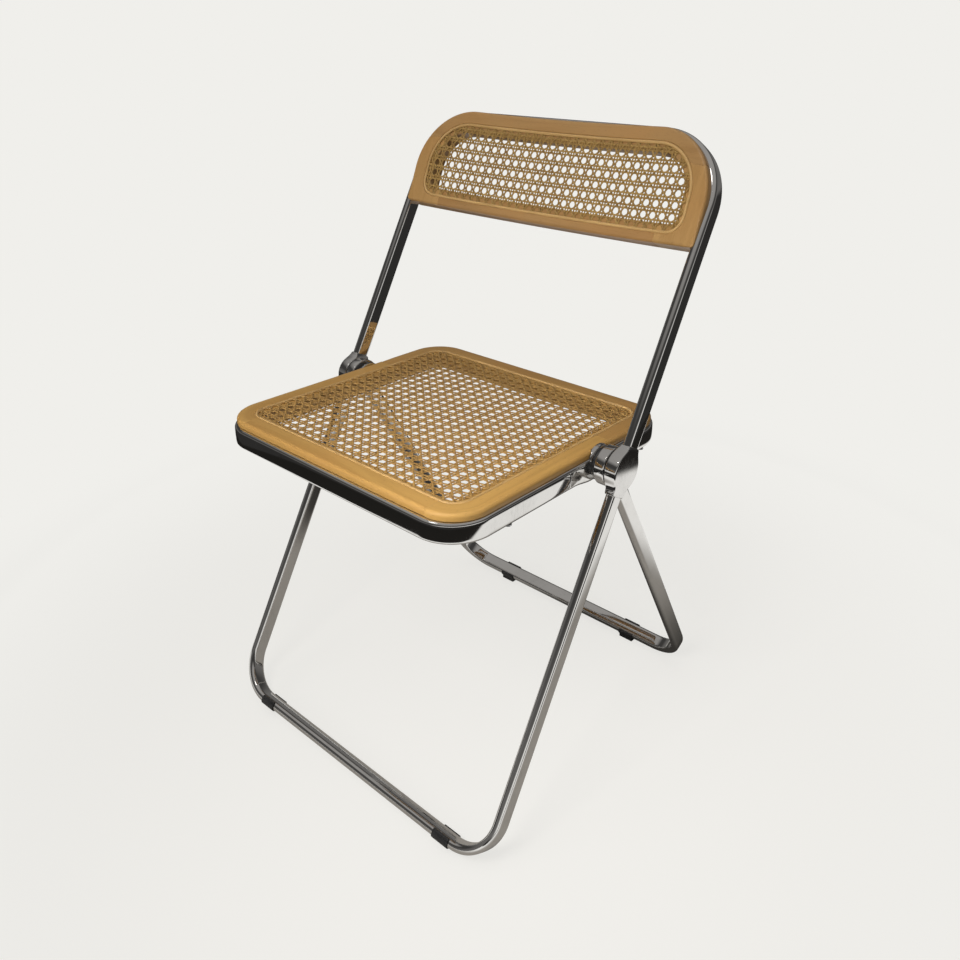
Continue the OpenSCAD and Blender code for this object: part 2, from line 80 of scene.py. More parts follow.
# quads between the neighbours of a grid of points; open ends get a face, and the shell is turned to face outwards
def gridShell(points, wrapRows=False, place=None):
    rows, columns = points.shape[:2]
    index = np.arange(rows * columns).reshape(rows, columns)
    upper = index if wrapRows else index[:-1]
    lower = np.roll(index, -1, 0) if wrapRows else index[1:]
    quads = np.stack([upper, lower, np.roll(lower, -1, 1), np.roll(upper, -1, 1)], -1).reshape(-1, 4)
    ends = [] if wrapRows else [index[0], index[-1][::-1]]
    flat = points.reshape(-1, 3) - points.reshape(-1, 3).mean(0)
    a, b, c, d = (flat[quads[:, k]] for k in range(4))
    volume = (a * np.cross(b, c)).sum() + (a * np.cross(c, d)).sum()
    for end in ends:
        rim = flat[end]
        volume += (rim[0] * np.cross(rim[1:-1], rim[2:]).sum(0)).sum()
    if volume < 0:
        quads = quads[:, ::-1]
        ends = [end[::-1] for end in ends]
    return {"points": points.reshape(-1, 3), "quads": quads, "ends": ends,
            "place": None if place is None else place.reshape(-1, 3)}


# many strips at once, as strips x stations x section; stretches of no length are left out
def stripShell(points, place):
    strips, stations, around = points.shape[:3]
    index = np.arange(strips * stations * around).reshape(strips, stations, around)
    middle = points.mean(2)
    kept = np.linalg.norm(middle[:, 1:] - middle[:, :-1], axis=-1) > 1e-3
    good = kept.any(1)
    a, b = index[:, :-1], index[:, 1:]
    quads = np.stack([a, b, np.roll(b, -1, 2), np.roll(a, -1, 2)], -1)[kept].reshape(-1, 4)
    first = kept.argmax(1)
    last = stations - 1 - kept[:, ::-1].argmax(1)
    each = np.arange(strips)
    ends = list(index[each, first][good]) + list(index[each, last][good][:, ::-1])
    flat = points.reshape(-1, 3)
    corners = [flat[quads[:, k]] for k in range(4)]
    outside = np.cross(corners[2] - corners[0], corners[3] - corners[1])
    spine = np.repeat(((middle[:, :-1] + middle[:, 1:]) / 2)[kept], around, axis=0)
    if (outside * (sum(corners) / 4 - spine)).sum() < 0:
        quads = quads[:, ::-1]
        ends = [end[::-1] for end in ends]
    used, packed = np.unique(np.concatenate([quads.ravel()] + ends), return_inverse=True)
    return {"points": flat[used], "quads": packed[:quads.size].reshape(-1, 4),
            "ends": list(packed[quads.size:].reshape(-1, around)), "place": place.reshape(-1, 3)[used]}


# joins shells to one mesh in the shared frame; "place" keeps the straight coordinates that the grain follows,
# and a finish is a material, a slot and the angle from which edges show sharp
def makePiece(name, shells, part, finish, nodes, body=None):
    look, slot, sharp = finish
    verts, faces, places, base = [], [], [], 0
    for shell in shells:
        verts.append(placed(shell["points"], part))
        faces += [tuple(f) for f in (shell["quads"] + base).tolist()]
        faces += [tuple((end + base).tolist()) for end in shell["ends"]]
        places.append(shell["points"] if shell["place"] is None else shell["place"])
        base += len(shell["points"])
    mesh = bpy.data.meshes.new(name)
    mesh.from_pydata(np.concatenate(verts), [], faces)
    mesh.polygons.foreach_set("use_smooth", np.ones(len(mesh.polygons), dtype=bool))
    mesh.set_sharp_from_angle(angle=math.radians(sharp))
    along = mesh.attributes.new("straight", "FLOAT_VECTOR", "POINT")
    along.data.foreach_set("vector", (np.concatenate(places) / 1000).astype(np.float32).ravel())
    mesh.materials.append(look)
    mesh.update()
    piece = bpy.data.objects.new(name, mesh)
    bpy.context.scene.collection.objects.link(piece)
    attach(piece, body or bodies[part])
    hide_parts(*nodes)


# gives nodes that keep the CAD's own shape a material
def dressNodes(names, look):
    for name in names:
        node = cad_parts[name]
        node.data.materials.clear()
        node.data.materials.append(look)


# finishes

# adds nodes to a group, or to the emptied tree of a material or world; an input takes a socket, a number, a
# vector or a colour
class nodeTree:
    def __init__(self, owner):
        if not isinstance(owner, bpy.types.NodeTree):
            owner.use_nodes = True
            owner = owner.node_tree
            owner.nodes.clear()
        self.nodes, self.links = owner.nodes, owner.links

    def new(self, kind, inputs=None, **settings):
        node = self.nodes.new(kind)
        for key, value in settings.items():
            setattr(node, key, value)
        for key, value in (inputs or {}).items():
            socket = node.inputs[key]
            if isinstance(value, bpy.types.NodeSocket):
                self.links.new(value, socket)
            else:
                socket.default_value = (*value, 1.0) if socket.type == "RGBA" else value
        return node

    def math(self, kind, *values, clamp=False):
        return self.new("ShaderNodeMath", dict(enumerate(values)), operation=kind, use_clamp=clamp).outputs[0]

    def mix(self, amount, first, second):
        return self.new("ShaderNodeMix", {0: amount, 6: first, 7: second}, data_type="RGBA").outputs[2]

    def noise(self, vector, scale, detail=4.0, rough=0.5, spread=0.0):
        return self.new("ShaderNodeTexNoise", {"Vector": vector, "Scale": scale, "Detail": detail,
                                               "Roughness": rough, "Distortion": spread}).outputs["Fac"]

    # goes smoothly from one number to another while the value goes from low to high
    def step(self, value, low, high, toLow=0.0, toHigh=1.0):
        return self.new("ShaderNodeMapRange", {"Value": value, "From Min": low, "From Max": high, "To Min": toLow,
                                               "To Max": toHigh}, interpolation_type="SMOOTHSTEP").outputs["Result"]

    def scaled(self, vector, scale, turn=(0, 0, 0)):
        return self.new("ShaderNodeMapping", {"Vector": vector, "Scale": scale, "Rotation": turn}).outputs[0]


# a node group that takes a vector and values, and puts out a colour, a roughness and a height
def newGroup(name, values):
    group = bpy.data.node_groups.new(name, "ShaderNodeTree")
    face = group.interface
    face.new_socket(name="Vector", in_out="INPUT", socket_type="NodeSocketVector")
    for socket, value in values.items():
        coloured = isinstance(value, tuple)
        kind = "NodeSocketColor" if coloured else "NodeSocketFloat"
        made = face.new_socket(name=socket, in_out="INPUT", socket_type=kind)
        made.default_value = (*value, 1.0) if coloured else value
    face.new_socket(name="Color", in_out="OUTPUT", socket_type="NodeSocketColor")
    face.new_socket(name="Roughness", in_out="OUTPUT", socket_type="NodeSocketFloat")
    face.new_socket(name="Height", in_out="OUTPUT", socket_type="NodeSocketFloat")
    tree = nodeTree(group)
    return group, tree, tree.new("NodeGroupInput").outputs


# wood grain that runs along X of the vector it gets: growth bands, fine fibres and short dark flecks
def buildGrain():
    group, tree, given = newGroup("beechGrain", {
        "Light": (0.72, 0.42, 0.13), "Dark": (0.50, 0.25, 0.07), "Bands": 0.5, "Flecks": 0.5})
    vector = given["Vector"]
    drift = tree.noise(tree.scaled(vector, (2.2, 16, 16)), 1.0, 3.0)
    bands = tree.noise(tree.scaled(vector, (3.0, 75, 75)), 1.0, 5.0, 0.55, 0.9)
    fibres = tree.noise(tree.scaled(vector, (26, 1500, 1500)), 1.0, 3.0, 0.6)
    flecks = tree.step(tree.noise(tree.scaled(vector, (190, 1350, 1350)), 1.0, 1.0), 0.66, 0.74)
    clouds = tree.noise(vector, 11.0, 2.0)
    mixed = tree.math("MULTIPLY", tree.step(bands, 0.36, 0.66), given["Bands"])
    mixed = tree.math("ADD", mixed, tree.step(drift, 0.3, 0.7, -0.12, 0.30))
    mixed = tree.math("ADD", mixed, tree.step(fibres, 0.3, 0.7, -0.10, 0.16), clamp=True)
    colour = tree.mix(mixed, given["Light"], given["Dark"])
    colour = tree.mix(tree.math("MULTIPLY", flecks, given["Flecks"]), colour, (0.23, 0.105, 0.035))
    colour = tree.mix(tree.step(clouds, 0.35, 0.7, 0.0, 0.16), colour, (0.60, 0.27, 0.075))
    rough = tree.math("MULTIPLY_ADD", flecks, 0.12, tree.math("MULTIPLY_ADD", fibres, 0.16, 0.30))
    height = tree.math("MULTIPLY_ADD", flecks, -0.6, fibres)
    tree.new("NodeGroupOutput", {"Color": colour, "Roughness": rough, "Height": height})
    return group


# faint wiping marks and dust on metal and plastic: a roughness that changes, and a little height
def buildHandling():
    group, tree, given = newGroup("handlingMarks", {
        "Clean": 0.05, "Marked": 0.16, "Tone": (0.8, 0.8, 0.8), "Dull": (0.6, 0.6, 0.6)})
    vector = given["Vector"]
    clouds = tree.noise(vector, 26.0, 5.0, 0.62)
    wipes = tree.noise(tree.scaled(vector, (160, 420, 90), (0.4, 0.7, 0.2)), 1.0, 3.0)
    specks = tree.step(tree.noise(vector, 900.0, 1.0), 0.70, 0.78)
    amount = tree.math("MULTIPLY", tree.step(clouds, 0.42, 0.68), tree.step(wipes, 0.35, 0.75, 0.35, 1.0))
    amount = tree.math("MAXIMUM", amount, tree.math("MULTIPLY", specks, 0.6))
    rough = tree.new("ShaderNodeMix", {0: amount, 2: given["Clean"], 3: given["Marked"]}).outputs[0]
    tree.new("NodeGroupOutput", {"Color": tree.mix(amount, given["Tone"], given["Dull"]), "Roughness": rough,
                                 "Height": tree.math("MULTIPLY_ADD", wipes, 0.35, clouds)})
    return group


# split cane: fibres along the strip, darker growth marks, and a tone for each strip
def buildFibre():
    group, tree, given = newGroup("caneFibre", {
        "Pale": (0.80, 0.58, 0.27), "Deep": (0.55, 0.33, 0.12), "Fineness": 1.0})
    vector = given["Vector"]
    lines = tree.noise(tree.scaled(vector, (30, 2600, 700)), 1.0, 3.0, 0.6)
    patches = tree.noise(tree.scaled(vector, (14, 60, 700)), 1.0, 3.0, 0.55)
    knots = tree.step(tree.noise(tree.scaled(vector, (95, 20, 900)), 1.0, 1.0), 0.68, 0.76)
    strip = tree.new("ShaderNodeSeparateXYZ", {0: vector}).outputs["Z"]
    tone = tree.math("FRACT", tree.math("MULTIPLY", strip, 370.0))
    mixed = tree.math("MULTIPLY_ADD", tone, 0.34, tree.step(patches, 0.3, 0.75, -0.05, 0.5))
    mixed = tree.math("ADD", mixed, tree.step(lines, 0.3, 0.7, -0.12, 0.22), clamp=True)
    colour = tree.mix(mixed, given["Pale"], given["Deep"])
    colour = tree.mix(tree.math("MULTIPLY", knots, 0.55), colour, (0.30, 0.15, 0.05))
    tree.new("NodeGroupOutput", {"Color": colour, "Roughness": tree.math("MULTIPLY_ADD", lines, 0.25, 0.26),
                                 "Height": tree.math("MULTIPLY", lines, given["Fineness"])})
    return group


# a material whose colour, roughness and bump come from a group; bump is a strength and a distance
def newLook(name, group, values, bump, shading, straight=True):
    look = bpy.data.materials.new(name)
    tree = nodeTree(look)
    if straight:
        vector = tree.new("ShaderNodeAttribute", attribute_name="straight").outputs["Vector"]
    else:
        vector = tree.new("ShaderNodeTexCoord").outputs["Object"]
    made = tree.new("ShaderNodeGroup", {"Vector": vector, **values}, node_tree=group).outputs
    raised = tree.new("ShaderNodeBump", {"Strength": bump[0], "Distance": bump[1], "Height": made["Height"]})
    shader = tree.new("ShaderNodeBsdfPrincipled", {
        "Base Color": made["Color"], "Roughness": made["Roughness"], "Normal": raised.outputs[0], **shading})
    tree.new("ShaderNodeOutputMaterial", {"Surface": shader.outputs[0]})
    return look


grainGroup, handlingGroup, fibreGroup = buildGrain(), buildHandling(), buildFibre()


def metalLook(name, clean, marked, tone, dull, bump):
    values = {"Clean": clean, "Marked": marked, "Tone": tone, "Dull": dull}
    return newLook(name, handlingGroup, values, (bump, 0.0004), {"Metallic": 1.0}, False)


def woodLook(name, light, dark, bands, flecks):
    values = {"Light": light, "Dark": dark, "Bands": bands, "Flecks": flecks}
    return newLook(name, grainGroup, values, (0.16, 0.0003), {"Coat Weight": 0.35, "Coat Roughness": 0.22})


def caneLook(name, pale, deep, fineness, bump):
    values = {"Pale": pale, "Deep": deep, "Fineness": fineness}
    return newLook(name, fibreGroup, values, (bump, 0.0004), {"Coat Weight": 0.25, "Coat Roughness": 0.3})


steelLook = metalLook("turnedSteel", 0.22, 0.34, (0.58, 0.58, 0.59), (0.45, 0.45, 0.46), 0.1)
blackLook = newLook("blackMoulding", handlingGroup, {
    "Clean": 0.38, "Marked": 0.62, "Tone": (0.022, 0.022, 0.023), "Dull": (0.06, 0.06, 0.06)},
    (0.2, 0.0003), {}, False)
chrome = (metalLook("polishedChrome", 0.045, 0.12, (0.80, 0.79, 0.78), (0.70, 0.69, 0.68), 0.012), "chrome_tube", 60)
casting = (metalLook("platedCasting", 0.07, 0.15, (0.78, 0.77, 0.76), (0.66, 0.65, 0.64), 0.05), "chrome_casting", 50)
# one lacquered beech in lit and shaded copies: the seat's is the lit one, and the rear rail's, the stiles' and the
# back rails' are darker copies with painted shade
woodSeat = (woodLook("lacqueredBeech", (0.66, 0.390, 0.112), (0.49, 0.268, 0.068), 0.50, 0.40), "beech", 40)
woodShadedRear = (woodLook("lacqueredBeechShadedRear", (0.56, 0.320, 0.095), (0.41, 0.215, 0.058), 0.55, 0.45), "beech", 40)
woodShadedBack = (woodLook("lacqueredBeechShadedBack", (0.46, 0.268, 0.102), (0.335, 0.183, 0.062), 0.45, 0.45), "beech", 40)
woodShadedStile = (woodLook("lacqueredBeechShadedStile", (0.53, 0.312, 0.112), (0.40, 0.222, 0.070), 0.50, 0.40), "beech", 40)
caneSeat = (caneLook("splitCane", (0.54, 0.32, 0.095), (0.30, 0.155, 0.038), 1.0, 0.25), "cane", 75)
# the backrest's cane is a darker copy of the seat's cane, with painted shade
caneShadedBack = (caneLook("splitCaneShadedBack", (0.47, 0.295, 0.090), (0.23, 0.120, 0.028), 1.0, 0.25), "cane", 75)
reedCord = (caneLook("reedCord", (0.66, 0.42, 0.165), (0.44, 0.255, 0.080), 0.8, 0.3), "cane_cord", 75)
print("finishes made")


# tubes

tubeSizes = {
    "width": 11.0, "depth": 21.0, "radius": 4.5, "crown": 0.12, "outerHalf": 227.5, "start": 16.0,
    "topReach": 381.0, "topBend": 84.0, "frontReach": 459.07, "frontBend": 50.0,
    "rearHalf": 211.0, "rearReach": 441.64, "rearBend": 50.0, "rearStart": 18.0,
}
tube = SimpleNamespace(**tubeSizes)


# a rectangle with round corners whose flats swell by a crown in their middle
def roundedSection(width, depth, radius, crown, flatSteps=5):
    a = np.linspace(0, math.pi / 2, 9)
    t = np.linspace(0, 1, flatSteps + 2)[1:-1]
    cx, cy = width / 2 - radius, depth / 2 - radius
    corner = np.stack([cx + radius * np.cos(a), cy + radius * np.sin(a)], -1)
    top = np.stack([cx * (1 - 2 * t), depth / 2 + crown * 4 * t * (1 - t)], -1)
    side = np.stack([-width / 2 - crown * 4 * t * (1 - t), cy * (1 - 2 * t)], -1)
    half = np.concatenate([corner, top, corner[::-1] * (-1, 1), side])
    return np.concatenate([half, -half])


# a U in a plane, from the left leg's start down, round both bends and up to the right leg's start; the section's
# x lies along the outward direction of the path and its y square to the plane
def sweptU(half, reach, bend, start, section):
    a = np.linspace(0, math.pi / 2, 45)
    way = np.stack([-np.cos(a), -np.sin(a)], -1)
    left = np.array([bend - half, bend - reach]) + bend * way
    path = np.concatenate([[[-half, -start]], left, left[::-1] * (-1, 1), [[half, -start]]])
    outward = np.concatenate([[[-1, 0]], way, way[::-1] * (-1, 1), [[1, 0]]])
    flat = path[:, None] + outward[:, None] * section[None, :, :1]
    return np.stack([flat[..., 0], np.broadcast_to(section[:, 1], flat.shape[:2]), flat[..., 1]], -1)


section = roundedSection(tube.width, tube.depth, tube.radius, tube.crown)
for name, part, node, way, *sizes in (
        ("backTube", "front", "back_tube", -1, tube.outerHalf, tube.topReach, tube.topBend, tube.start),
        ("frontLegTube", "front", "front_leg_tube", 1, tube.outerHalf, tube.frontReach, tube.frontBend, tube.start),
        ("rearLegTube", "rear", "rear_leg_tube", 1, tube.rearHalf, tube.rearReach, tube.rearBend, tube.rearStart)):
    makePiece(name, [gridShell(sweptU(*sizes, section) * (1, 1, way))], part, chrome, [node])

railSizes = {
    "width": 10.0, "height": 24.0, "radius": 4.0, "crown": 0.12, "half": 193.0, "level": -2.8,
    "frontReach": 225.8, "rearReach": 135.8, "bend": 45.0, "frontStart": 55.2, "rearStart": 30.2,
}
rail = SimpleNamespace(**railSizes)
section = roundedSection(rail.width, rail.height, rail.radius, rail.crown, 7)
for name, reach, start, way, node in (("seatTubeFront", rail.frontReach, rail.frontStart, 1, "seat_tube_front"),
                                      ("seatTubeRear", rail.rearReach, rail.rearStart, -1, "seat_tube_rear")):
    u = sweptU(rail.half, reach, rail.bend, start, section)
    ring = np.stack([u[..., 0], u[..., 2] * way, rail.level - u[..., 1]], -1)
    makePiece(name, [gridShell(ring)], "seat", chrome, [node])
print("tubes made")


# hubs

hubSizes = {
    "disc": 23.0, "neckHalf": 12.5, "neckTaper": 1.5, "neckTip": 1.4, "tipFillet": 1.6, "taperFrom": 18.0,
    "edge": 1.5, "fillet": 7.0, "dome": 0.35, "neckThick": 13.0, "neckThin": 0.45, "neckSteps": (22.5, 27.5),
    "outerIn": 218.5, "outerOut": 233.65, "outerDown": 30.0, "outerUp": 26.0, "outerTube": 227.5,
    "middleIn": 204.5, "middleOut": 217.2, "middleDown": 32.0, "middleTube": 211.0,
}
hub = SimpleNamespace(**hubSizes)


# how far a casting's outline is from the hub axis at each angle: the disc, or the neck where it reaches further
def castingOutline(angle, down, up):
    reach = np.full_like(angle, hub.disc)
    for way, length in ((1, down), (-1, up)):
        if not length:
            continue
        c = np.maximum(np.cos(angle) * way, 1e-3)
        n = np.maximum(np.abs(np.sin(angle)), 1e-3)
        across = np.clip(length * n / c / hub.neckHalf, 0, 1)
        tip = (length + hub.neckTip * (1 - across ** 2)) / c
        taper = hub.neckTaper / (length - hub.taperFrom)
        side = (hub.neckHalf + taper * hub.taperFrom) / (n + taper * c)
        neck = softMin(side, tip, hub.tipFillet)
        reach = np.where(np.cos(angle) * way > 0.02, softMax(reach, neck, hub.fillet), reach)
    return reach


# rings from the inner face's middle over the rounded rim to the outer face's middle; x runs across the casting
def castingShell(down, up, xIn, xOut, tubeAt, lean, around=288):
    angle = np.linspace(0, 2 * math.pi, around, endpoint=False)
    outline = castingOutline(angle, down, up)
    a = np.linspace(0, math.pi / 2, 7)
    share = np.array([0.1, 0.4, 0.7, 0.85, 0.95])
    flat, rounding = np.zeros(len(share)), hub.edge * (1 - np.cos(a))
    level = np.zeros(len(share) + len(a))
    inset = np.concatenate([flat, hub.edge * np.sin(a), hub.edge * np.sin(a[::-1]), flat])
    fraction = np.concatenate([share, np.ones(2 * len(a)), share[::-1]])
    depth = np.concatenate([flat, rounding, level])
    height = np.concatenate([level, rounding[::-1], flat])
    outerHalf = np.arange(len(inset)) >= len(level)
    radius = fraction[:, None] * (outline[None, :] - hub.edge) + inset[:, None]
    neck = eased(radius, *hub.neckSteps)
    thin = hub.neckThin * np.clip((radius - hub.disc) / (max(down, up) - hub.disc), 0, 1)
    inner = xIn + (tubeAt - hub.neckThick / 2 - xIn) * neck + thin
    outer = xOut + hub.dome * (1 - np.clip(radius / hub.disc, 0, 1) ** 2) - thin
    x = np.where(outerHalf[:, None], outer - height[:, None], inner + depth[:, None])
    return turned(np.stack([x, radius * np.sin(angle), -radius * np.cos(angle)], -1), lean)


outerCast = castingShell(hub.outerDown, hub.outerUp, hub.outerIn, hub.outerOut, hub.outerTube, leans["front"])
middleCast = castingShell(hub.middleDown, 0, hub.middleIn, hub.middleOut, hub.middleTube, leans["rear"])
for side, word in sides:
    makePiece("hubOuter_" + word, [gridShell(outerCast * (side, 1, 1))], "hub", casting, ["hub_outer_" + word],
              "back_frame")
    makePiece("hubMiddle_" + word, [gridShell(middleCast * (side, 1, 1))], "hub", casting, ["hub_middle_" + word],
              "rear_frame")

knuckleSizes = {
    "radius": 21.0, "core": 15.0, "bevel": 3.6, "edge": 0.5, "inner": 186.5, "disc": 193.0, "outer": 198.5,
    "armFront": -55.0, "armRear": 30.0, "armWide": 10.4, "armTall": 24.0, "armTop": 9.2, "armRadius": 4.1,
    "armCrown": 0.15, "drop": 4.2, "deepens": (-46, -14), "thins": (8, 27), "endScale": 0.94,
}
knuckle = SimpleNamespace(**knuckleSizes)


# the core and disc of the boss: a profile of radius and x turned about the hub axis
def bossShell(around=144):
    k = knuckle
    a = np.linspace(0, math.pi / 2, 9)
    rise, run = k.edge * np.sin(a), k.edge * (1 - np.cos(a))
    radius = np.concatenate([[0.3, 8, 13.6], k.core - k.edge + rise, [k.core, 18.0], k.radius - k.edge + rise,
                             k.radius - k.bevel * (1 - np.cos(a)), [14, 8, 0.3]])
    x = np.concatenate([[k.inner] * 3, k.inner + run, [k.disc] * 2, k.disc + run,
                        k.outer - k.bevel * (1 - np.sin(a)), [k.outer] * 3])
    angle = np.linspace(0, 2 * math.pi, around, endpoint=False)
    return np.stack([np.broadcast_to(x[:, None], (len(x), around)),
                     radius[:, None] * np.cos(angle), radius[:, None] * np.sin(angle)], -1)


# an arm that runs along the rail and deepens towards the boss; its ends are drawn in to leave a fine seam
def armShell():
    k = knuckle
    y = np.concatenate([[k.armFront, k.armFront + 0.4], np.linspace(k.armFront + 2, k.armRear - 2, 44),
                        [k.armRear - 0.4, k.armRear]])
    section = roundedSection(k.armWide, k.armTall, k.armRadius, k.armCrown, 7)
    drawn = np.where((y == y[0]) | (y == y[-1]), k.endScale, 1.0)
    stretch = 1 + k.drop * eased(y, *k.deepens) * (1 - eased(y, *k.thins)) / k.armTall
    x = rail.half + section[None, :, 0] * drawn[:, None]
    z = k.armTop - (k.armTall / 2 - section[None, :, 1] * drawn[:, None]) * stretch[:, None]
    return np.stack([x, np.broadcast_to(y[:, None], x.shape), z], -1)


for side, word in sides:
    makePiece("seatKnuckle_" + word, [gridShell(shell * (side, 1, 1)) for shell in (bossShell(), armShell())],
              "seat", casting, ["seat_knuckle_" + word])
print("hubs made")


# the wooden seat frame; seamDraw is how far the profile shrinks to its middle where two rails are glued

seatWood = {
    "ringX": 151.6, "front": -181.8, "rear": 91.8, "out": 44.0, "lip": 9.2, "top": 18.2, "body": 35.9,
    "bodyLow": -4.8, "grooveOut": 23.0, "grooveIn": 19.0, "grooveFloor": 14.8, "ledge": 15.9, "ledgeIn": 12.0,
    "rounds": (1.5, 1.5, 0, 1.4, 4.2, 0.5, 0, 0, 0, 0.8), "joint": 22.0, "notch": 21.6, "notchX": 192.4,
    "core": 15.6, "coreX": 185.7, "headX": 182.5, "headHalf": 9.0, "seamDraw": 1 / 30, "measured": 30.0,
    "sideGrain": (300, 200), "rearGrain": (700, 500),
}
wood = SimpleNamespace(**seatWood)


# an outline whose corners are rounded, each by its own radius; a radius of 0 keeps the corner
def roundedCorners(corners, radii, steps=6):
    corners = np.asarray(corners, float)
    parts = []
    for k, radius in enumerate(radii):
        p, a, b = corners[k], corners[k - 1], corners[(k + 1) % len(corners)]
        if radius <= 0:
            parts.append(p[None])
            continue
        toA, toB = (a - p) / np.linalg.norm(a - p), (b - p) / np.linalg.norm(b - p)
        half = math.acos(np.clip((toA * toB).sum(), -1, 1)) / 2
        start = p + toA * radius / math.tan(half)
        end = p + toB * radius / math.tan(half)
        centre = p + (toA + toB) / np.linalg.norm(toA + toB) * radius / math.sin(half)
        w = np.linspace(0, 1, steps + 1)[:, None]
        chord = start * (1 - w) + end * w - centre
        parts.append(centre + chord / np.linalg.norm(chord, axis=1, keepdims=True) * radius)
    return np.concatenate(parts)


woodProfile = roundedCorners(
    [[wood.ledgeIn, wood.bodyLow], [wood.body, wood.bodyLow], [wood.body, wood.lip], [wood.out, wood.lip],
     [wood.out, wood.top], [wood.grooveOut, wood.top], [wood.grooveOut, wood.grooveFloor],
     [wood.grooveIn, wood.grooveFloor], [wood.grooveIn, wood.ledge], [wood.ledgeIn, wood.ledge]], wood.rounds)


# carries the wood's profile along stations that have a middle and an outward direction; the grain follows the
# length run at the measured distance out
def carriedWood(middle, outward):
    drawn = np.zeros((len(middle), 1, 1))
    drawn[[0, -1]] = wood.seamDraw
    profile = woodProfile + (woodProfile.mean(0) - woodProfile) * drawn
    run = runAlong(middle + outward * wood.measured)
    points = np.concatenate([middle[:, None] + outward[:, None] * profile[..., :1], profile[..., 1:]], -1)
    return points, np.concatenate([np.broadcast_to(run[:, None, None], (*profile.shape[:2], 1)), profile], -1)


# stations that all stand at one centre and turn outward from one angle to another
def arcStations(centre, first, last, steps):
    a = np.radians(np.linspace(first, last, steps))
    outward = np.stack([np.cos(a), np.sin(a)], -1)
    return np.broadcast_to(centre, outward.shape), outward


# stations at shares of the way from start to end, all with one outward direction
def lineStations(start, end, outward, share):
    middle = start + (end - start) * np.asarray(share)[:, None]
    return middle, np.broadcast_to(np.asarray(outward, float), middle.shape)


def joinStations(*parts):
    return np.concatenate([part[0] for part in parts]), np.concatenate([part[1] for part in parts])


# room in a side rail for the knuckle: wood inside its disc or core is drawn back or lifted
def notched(points):
    x, y, z = (points[..., k].copy() for k in range(3))
    ceiling = np.sqrt(np.maximum(wood.core ** 2 - y ** 2, 0))
    inCore = (np.abs(y) < wood.core) & (x > wood.coreX) & (z < ceiling)
    onLip = z >= wood.lip - 0.01
    z = np.where(inCore & onLip, ceiling, z)
    x = np.where(inCore & ~onLip, wood.coreX, x)
    x = np.where((x > wood.notchX) & (np.hypot(y, z) < wood.notch), wood.notchX, x)
    x = np.where((np.abs(y) < wood.headHalf) & (z < wood.lip) & (x > wood.headX), wood.headX, x)
    return np.stack([x, y, z], -1)


frontRight, rearRight, jointRight = (np.array([wood.ringX, y]) for y in (wood.front, wood.rear, wood.joint))
frontLeft, rearLeft, jointLeft = (spot * (-1, 1) for spot in (frontRight, rearRight, jointRight))

points, place = carriedWood(*lineStations(frontLeft, frontRight, [0, -1], np.linspace(0, 1, 9)))
makePiece("seatRailFront", [gridShell(points, place=place)], "seat", woodSeat, ["seat_rail_front"])

# rows along a side rail, close together at the notch and doubled where its edges are
gap = math.sqrt(wood.notch ** 2 - wood.top ** 2)
edges = np.outer([-1, 1], [gap - 0.01, gap + 0.01, wood.headHalf - 0.01, wood.headHalf + 0.01]).ravel()
rows = np.unique(np.concatenate([[wood.front + 6, -120, -60, -30], np.arange(-wood.notch, wood.joint, 0.9), edges,
                                 [wood.joint]]))
points, place = carriedWood(*joinStations(
    arcStations(frontRight, -90, 0, 40),
    lineStations(frontRight, jointRight, [1, 0], (rows - wood.front) / (wood.joint - wood.front))))
points = notched(points)
for side, word in sides:
    shift = (0, side * wood.sideGrain[0], wood.sideGrain[1])
    makePiece("seatRail_" + word, [gridShell(points * (side, 1, 1), place=place + shift)], "seat", woodSeat,
              ["seat_rail_" + word])

points, place = carriedWood(*joinStations(
    lineStations(jointRight, rearRight, [1, 0], np.linspace(0, 0.97, 4)),
    arcStations(rearRight, 0, 90, 40), arcStations(rearLeft, 90, 180, 40),
    lineStations(rearLeft, jointLeft, [-1, 0], np.linspace(0.03, 1, 4))))
makePiece("seatRailRear", [gridShell(points, place=place + (0, *wood.rearGrain))], "seat", woodShadedRear,
          ["seat_rail_rear"])
print("seat wood made")


# cane weave; flatFrom and flatTo are shares of a pitch between which a strip lies level

weaveSizes = {
    "strandWide": 2.1, "strandThick": 1.10, "pairApart": 3.8, "wave": 0.50, "crossWave": 0.85,
    "flatFrom": 0.36, "flatTo": 0.64, "shortest": 6.0,
    "seatStart": (8.0, -188.8), "seatPitch": (14.0, 12.33), "seatLevel": 16.75, "seatReach": 21.0,
    "sag": 0.9, "sagX": 172.0, "sagY": 158.0, "sagMiddle": -45.0,
    "backStart": (-1.5, 275.4), "backPitch": (13.1, 13.45), "backDepth": 1.75, "backMargin": 2.0,
    "cordAt": 21.0, "cordLevel": 16.85, "cordRadius": 1.98,
    "backCordIn": 2.0, "backCordDepth": 1.45, "backCordRadius": 2.0, "cordLayer": 400.0,
}
cane = SimpleNamespace(**weaveSizes)

# a flattened strip in section: width across, and a low rounded top
strand = np.array([[-0.5, 0], [-0.3, 0.5], [0.3, 0.5], [0.5, 0], [0, -0.45]]) * (cane.strandWide, cane.strandThick)


# strips from origins along unit directions, square to their own way; lift is the height of each station at run
def stripField(origin, way, run, lift, surface, tone):
    across = np.stack([-way[:, 1], way[:, 0]], -1)[:, None, None]
    flat = (origin[:, None] + way[:, None] * run[..., None])[:, :, None] + across * strand[:, :1]
    points = surface(flat[..., 0], flat[..., 1], lift[:, :, None] + strand[:, 1])
    place = np.stack(np.broadcast_arrays(run[:, :, None], strand[:, 0], tone[:, None, None] * 1000), -1)
    return stripShell(points, place)


